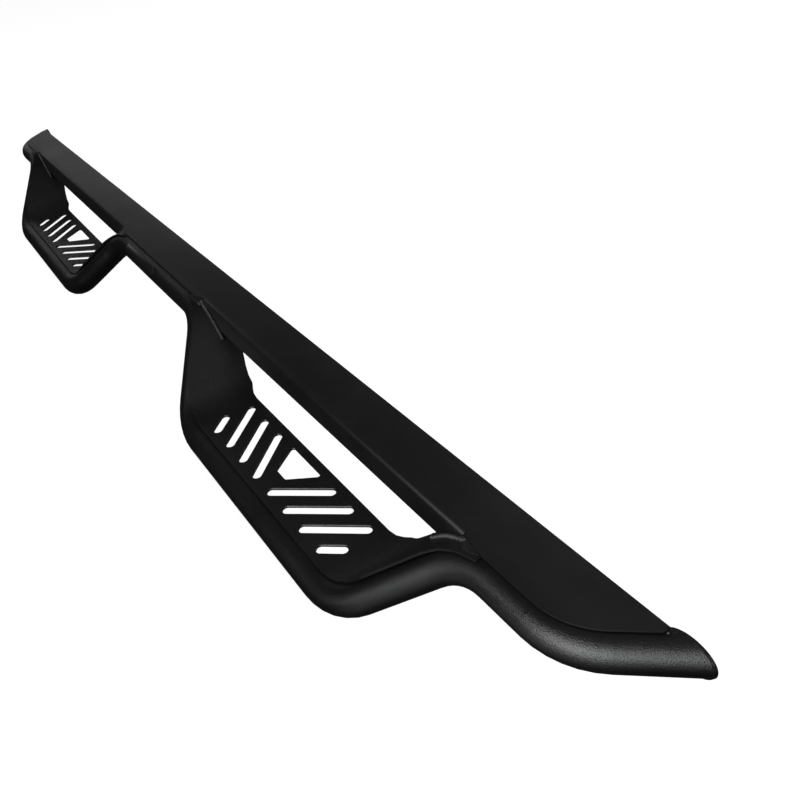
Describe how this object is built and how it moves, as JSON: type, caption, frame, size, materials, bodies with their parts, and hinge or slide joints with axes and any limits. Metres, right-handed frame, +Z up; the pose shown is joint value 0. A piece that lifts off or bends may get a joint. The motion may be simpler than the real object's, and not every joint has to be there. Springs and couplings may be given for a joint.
{
  "type": "running board",
  "caption": "Drop-step running board: flat deck with an inner rail, a bent outer tube looping down round slotted step plates, capped tube ends.",
  "frame": {"origin": "middle of the bolt pair on the underside of the middle mounting bracket", "axes": "+X along the board towards its front end, -Y outboard towards the steps, +Y towards the vehicle, +Z up"},
  "size_m": [2.404, 0.2149, 0.1667],
  "materials": {
    "textured_coat": "fine-textured satin black powder coat",
    "deck_coat": "satin black powder coat, flatter on the tread",
    "coated_weld": "weld beads under the same black coat",
    "badge": "satin black, blank",
    "plated_steel": "zinc plated"
  },
  "bodies": {
    "root": {"outer_tube": "textured_coat", "front_end_cap": "textured_coat", "rear_end_cap": "textured_coat", "front_step_plate": "textured_coat", "rear_step_plate": "textured_coat", "inner_rail": "textured_coat", "front_mount_bracket": "textured_coat", "middle_mount_bracket": "textured_coat", "rear_mount_bracket": "textured_coat", "deck_plate": "deck_coat", "front_step_fore_weld": "coated_weld", "front_step_aft_weld": "coated_weld", "rear_step_fore_weld": "coated_weld", "rear_step_aft_weld": "coated_weld", "front_tip_weld": "coated_weld", "rear_tip_weld": "coated_weld", "front_step_tube_welds": "coated_weld", "rear_step_tube_welds": "coated_weld", "deck_rail_welds": "coated_weld", "bracket_welds": "coated_weld", "front_deck_tube_weld": "coated_weld", "middle_deck_tube_weld": "coated_weld", "rear_deck_tube_weld": "coated_weld", "badge_plate": "badge", "weld_nuts": "plated_steel"}
  },
  "joints": []
}
